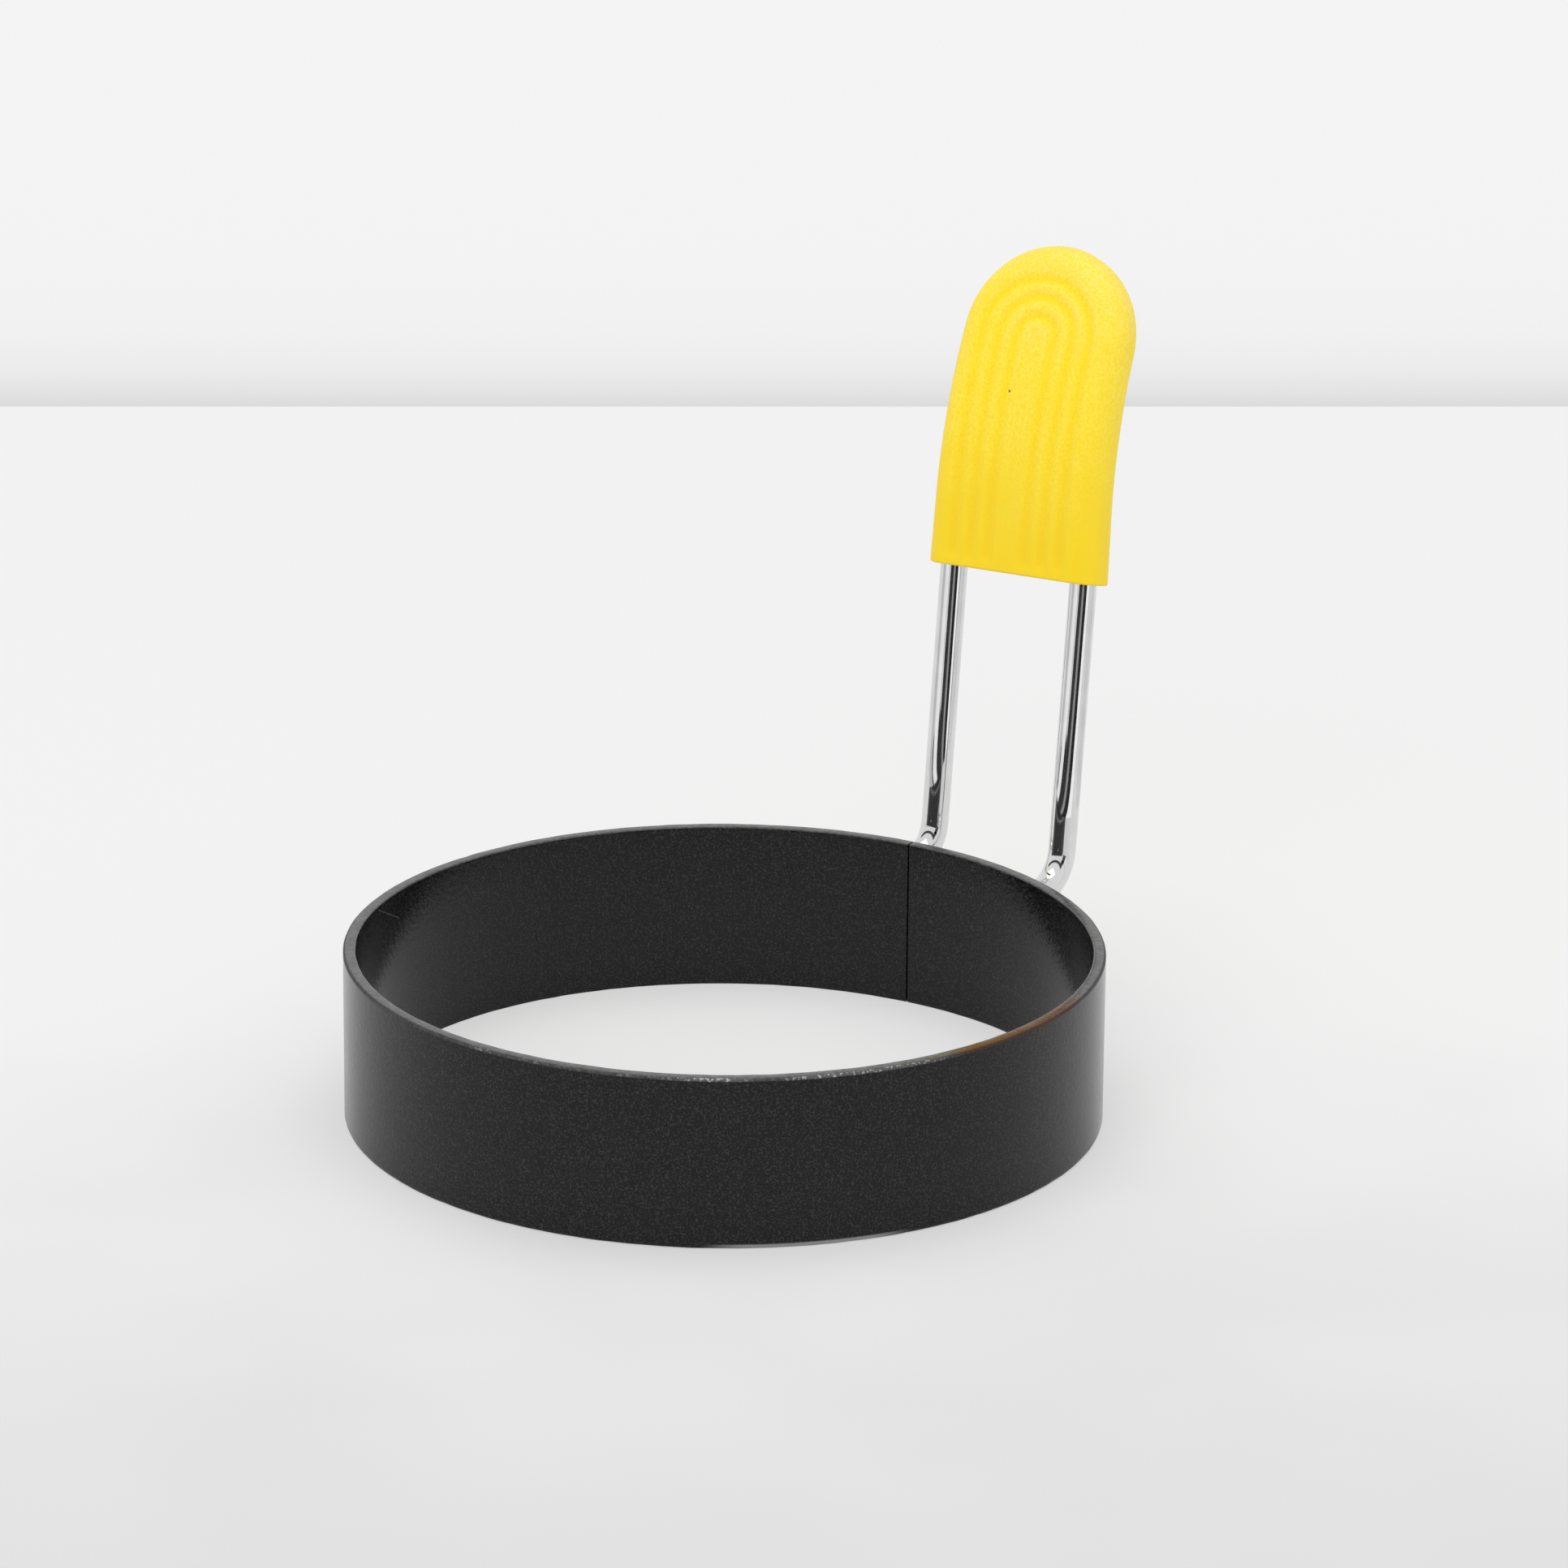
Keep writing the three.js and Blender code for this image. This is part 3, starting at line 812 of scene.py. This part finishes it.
def camera_view():
    turn = Matrix.Rotation(CAMERA_HEADING, 4, "Z")
    tilt = Matrix.Rotation(math.pi / 2 - CAMERA_PITCH, 4, "X")
    roll = Matrix.Rotation(CAMERA_ROLL, 4, "Z")
    return Matrix.Translation(CAMERA_PLACE) @ turn @ tilt @ roll


def bearing(degrees):
    """Level direction by degrees to the right of the way to the camera."""
    turn = CAMERA_HEADING + math.radians(degrees)
    return Vector((math.sin(turn), -math.cos(turn), 0))


def along_way(tree, place, way):
    return vector_maths(tree, "DOT_PRODUCT", place, way)


def seen_ray(tree):
    """1 for what the camera sees, also in shiny or clear things, and 0 for light on the object."""
    path = add_node(tree, "ShaderNodeLightPath").outputs
    seen = maths(tree, "MAXIMUM", path["Is Camera Ray"], path["Is Glossy Ray"])
    return maths(tree, "MAXIMUM", seen, path["Is Transmission Ray"])


def flat_sheet(name, corners, material):
    mesh = bpy.data.meshes.new(name)
    mesh.from_pydata(corners, [], [tuple(range(len(corners)))])
    sheet = bpy.data.objects.new(name, mesh)
    bpy.context.scene.collection.objects.link(sheet)
    mesh.materials.append(material)
    return sheet


def floor_material():
    """Pale floor with painted light falling off towards the camera, and a faint glow that lightens its
    shadows.
    """
    material, tree, shader, place = new_material("pale_floor")
    near = along_way(tree, place, bearing(0))
    mottle = ease(tree, spots(tree, place, MOTTLE_LENGTH), *NOISE_RANGE, *MOTTLE_SHIFT)
    # Painted light: the floor's colour fades from lit far off to shaded near the camera.
    share = ease(tree, maths(tree, "ADD", near, mottle), *FAR_TO_NEAR)
    shade = mix_colour(tree, share, LIT_FAR_FLOOR, SHADED_NEAR_FLOOR)
    fill(tree, shader, {
        "Base Color": shade,
        "Roughness": FLOOR_ROUGHNESS,
        "Specular IOR Level": 0.0,
    })
    glow = add_node(tree, "ShaderNodeEmission", {0: shade, 1: FLOOR_GLOW}).outputs[0]
    lit = {0: times(tree, seen_ray(tree), GLOW_SHARE), 1: shader.outputs[0], 2: glow}
    lit = add_node(tree, "ShaderNodeMixShader", lit).outputs[0]
    tree.links.new(lit, tree.nodes["Material Output"].inputs[0])
    return material


def build_floor():
    view = camera_view()
    ends = []
    for across in (-0.5, 0.5):
        ray = Vector((across, 0.5 - FAR_EDGE_SHARE, -CAMERA_LENS / CAMERA_SENSOR))
        ray = view.to_3x3() @ ray
        ends.append(view.translation - ray * (view.translation.z / ray.z))
    middle = (ends[0] + ends[1]) / 2
    left, right = [middle + (end - middle) * FLOOR_SPREAD for end in ends]
    forward = bearing(0) * FLOOR_DEPTH
    flat_sheet("floor", [left + forward, right + forward, right, left], floor_material())


def card_material(name, shade):
    """Plain glow on the upper face, clear from below."""
    material = bpy.data.materials.new(name)
    material.use_nodes = True
    tree = material.node_tree
    tree.nodes.clear()
    glow = add_node(tree, "ShaderNodeEmission", {0: grey(shade)}).outputs[0]
    clear = add_node(tree, "ShaderNodeBsdfTransparent").outputs[0]
    below = add_node(tree, "ShaderNodeNewGeometry").outputs["Backfacing"]
    faced = add_node(tree, "ShaderNodeMixShader", {0: below, 1: glow, 2: clear}).outputs[0]
    add_node(tree, "ShaderNodeOutputMaterial", {0: faced})
    return material


def build_cards():
    """Cards over the floor in front of the handle, which only shiny things show."""
    foot = Vector((0, AXIS_Y + BAND_RADIUS + STUB_REACH + BEND_RADIUS, CARD_HEIGHT))
    near, far = CARD_REACH
    for i, (start, end, shade) in enumerate(CARDS):
        name = f"card_{i}"
        corners = [foot + bearing(start) * near, foot + bearing(start) * far]
        corners += [foot + bearing(end) * far, foot + bearing(end) * near]
        card = flat_sheet(name, corners, card_material(name, shade))
        card.visible_camera = False
        card.visible_diffuse = False
        card.visible_shadow = False
        card.visible_transmission = False


def build_lamp(name, aside, rise, away, size, power, mirrored):
    lamp = bpy.data.lights.new(name, "AREA")
    lamp.size = size
    lamp.energy = power
    holder = bpy.data.objects.new(name, lamp)
    bpy.context.scene.collection.objects.link(holder)
    rise = math.radians(rise)
    way = bearing(aside) * math.cos(rise) + Vector((0, 0, math.sin(rise)))
    holder.location = way * away
    holder.rotation_euler = way.to_track_quat("Z", "Y").to_euler()
    holder.visible_camera = False
    holder.visible_glossy = mirrored


def background_shade(tree, direction):
    """Near white, with a soft dusk just above the floor's far edge."""
    above = along_way(tree, direction, camera_view().to_3x3().col[1])
    edge = (0.5 - FAR_EDGE_SHARE) * CAMERA_SENSOR / CAMERA_LENS
    fall = times(tree, maths(tree, "SUBTRACT", above, edge), -DUSK_FALL)
    fall = maths(tree, "MINIMUM", maths(tree, "EXPONENT", fall), 1.0)
    dusk = times(tree, fall, ease(tree, above, *DUSK_START, 0.0, DUSK))
    return maths(tree, "SUBTRACT", BACKGROUND, dusk)


def dark_frame(tree, direction, up):
    """A dark post and beam that stand before the object, in reflections alone."""
    ahead = maths(tree, "MAXIMUM", along_way(tree, direction, bearing(0)), LEAST_AHEAD)
    aside = maths(tree, "DIVIDE", along_way(tree, direction, bearing(90)), ahead)
    under_top = ease(tree, up, *FRAME_TOP)
    post = times(tree, ease(tree, aside, *POST_LEFT), ease(tree, aside, *POST_RIGHT))
    post = times(tree, post, ease(tree, ahead, *POST_AHEAD), under_top)
    beam = times(tree, ease(tree, up, *BEAM_FOOT), under_top)
    beam_way = along_way(tree, direction, bearing(BEAM_BEARING))
    beam = times(tree, beam, ease(tree, beam_way, *BEAM_AHEAD))
    dark = times(tree, maths(tree, "MAXIMUM", post, beam), FRAME_DARKNESS)
    return times(tree, dark, add_node(tree, "ShaderNodeLightPath").outputs["Is Glossy Ray"])


def build_world():
    """Soft light from all round, and the background that the camera and shiny things show."""
    world = bpy.data.worlds.new("studio")
    bpy.context.scene.world = world
    world.use_nodes = True
    tree = world.node_tree
    tree.nodes.clear()
    direction = add_node(tree, "ShaderNodeTexCoord").outputs["Generated"]
    up = split_place(tree, direction)[2]
    sky = {"Value": up, "To Min": LEVEL_LIGHT, "To Max": OVERHEAD_LIGHT}
    light = add_node(tree, "ShaderNodeMapRange", sky).outputs[0]
    back = background_shade(tree, direction)
    back = maths(tree, "SUBTRACT", back, dark_frame(tree, direction, up))
    strength = mix_value(tree, seen_ray(tree), light, back)
    background = add_node(tree, "ShaderNodeBackground", {0: grey(1.0), 1: strength}).outputs[0]
    add_node(tree, "ShaderNodeOutputWorld", {0: background})


def build_camera():
    camera = bpy.data.cameras.new("camera")
    camera.lens = CAMERA_LENS
    camera.sensor_width = CAMERA_SENSOR
    camera.clip_start = CAMERA_NEAR
    camera.clip_end = CAMERA_FAR
    holder = bpy.data.objects.new("camera", camera)
    bpy.context.scene.collection.objects.link(holder)
    holder.matrix_world = camera_view()
    bpy.context.scene.camera = holder


dress(build_band(), coating_material(), "ring", "band_coating", "ring_band")
dress(build_wire(), wire_material(), "ring", "handle_steel", "handle_wire")
bead = weld_material()
dress(build_weld("weld_left", -1), bead, "ring", "weld_steel", "left_weld")
dress(build_weld("weld_right", 1), bead, "ring", "weld_steel", "right_weld")
dress(build_sleeve(), silicone_material(), "grip", "sleeve_silicone", "grip_sleeve")
build_floor()
build_cards()
for lamp in LAMPS:
    build_lamp(*lamp)
build_world()
build_camera()
bpy.context.scene.view_settings.view_transform = "Standard"
